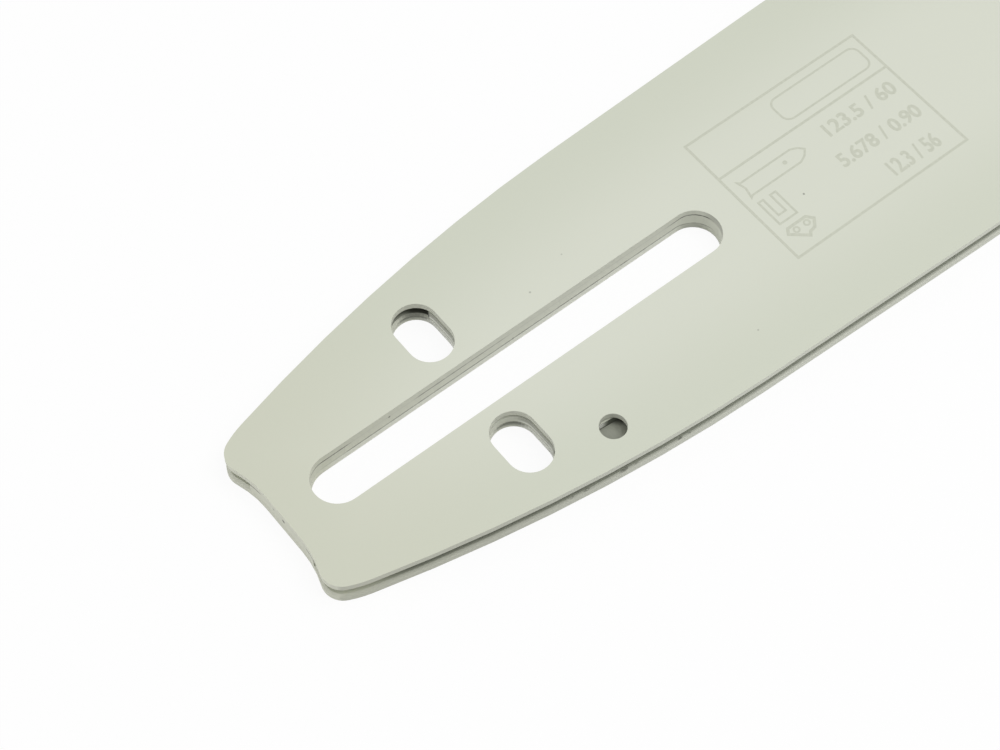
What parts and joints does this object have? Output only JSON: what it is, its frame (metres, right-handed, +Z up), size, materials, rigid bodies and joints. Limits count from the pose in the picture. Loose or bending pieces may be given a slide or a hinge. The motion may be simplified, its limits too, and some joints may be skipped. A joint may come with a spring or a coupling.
{
  "type": "chainsaw guide bar",
  "caption": "Laminated steel chainsaw guide bar with a grooved rail all round, slotted tail for the saw's studs and a sprocket nose; carries and guides a saw chain.",
  "frame": {"origin": "centre of the stud slot, on the bottom face", "axes": "+X along the bar to the nose, +Y across the bar, +Z up through the bar's thickness"},
  "size_m": [0.4625, 0.0588, 0.0045],
  "materials": {
    "bar_paint": "satin pale grey-green paint",
    "core_paint": "satin pale grey-green paint on a cut edge",
    "rivet_paint": "satin paint over ground rivet ends",
    "sprocket_steel": "hardened steel, tumbled",
    "bearing_steel": "ground bearing steel"
  },
  "bodies": {
    "bar": {"top_side_plate": "bar_paint", "core_plate": "core_paint", "bottom_side_plate": "bar_paint", "bearing_race": "bearing_steel", "nose_rivets": "rivet_paint"},
    "sprocket": {"nose_sprocket": "sprocket_steel"},
    "rollers": {"bearing_roller_01": "bearing_steel", "bearing_roller_02": "bearing_steel", "bearing_roller_03": "bearing_steel", "bearing_roller_04": "bearing_steel", "bearing_roller_05": "bearing_steel", "bearing_roller_06": "bearing_steel", "bearing_roller_07": "bearing_steel", "bearing_roller_08": "bearing_steel", "bearing_roller_09": "bearing_steel", "bearing_roller_10": "bearing_steel", "bearing_roller_11": "bearing_steel", "bearing_roller_12": "bearing_steel", "bearing_roller_13": "bearing_steel", "bearing_roller_14": "bearing_steel", "bearing_roller_15": "bearing_steel", "bearing_roller_16": "bearing_steel", "bearing_roller_17": "bearing_steel", "bearing_roller_18": "bearing_steel", "bearing_roller_19": "bearing_steel", "bearing_roller_20": "bearing_steel", "bearing_roller_21": "bearing_steel", "bearing_roller_22": "bearing_steel", "bearing_roller_23": "bearing_steel", "bearing_roller_24": "bearing_steel"}
  },
  "joints": [
    {"name": "sprocket_spin", "type": "hinge", "parent": "bar", "child": "sprocket", "pos_m": [0.39291, 0, 0.00225], "axis": [0, 0, 1], "continuous": true},
    {"name": "roller_orbit", "type": "hinge", "parent": "bar", "child": "rollers", "pos_m": [0.39291, 0, 0.00225], "axis": [0, 0, 1], "continuous": true}
  ],
  "couplings": [
    {"joint": "roller_orbit", "follows": "sprocket_spin", "ratio": 0.56373}
  ]
}
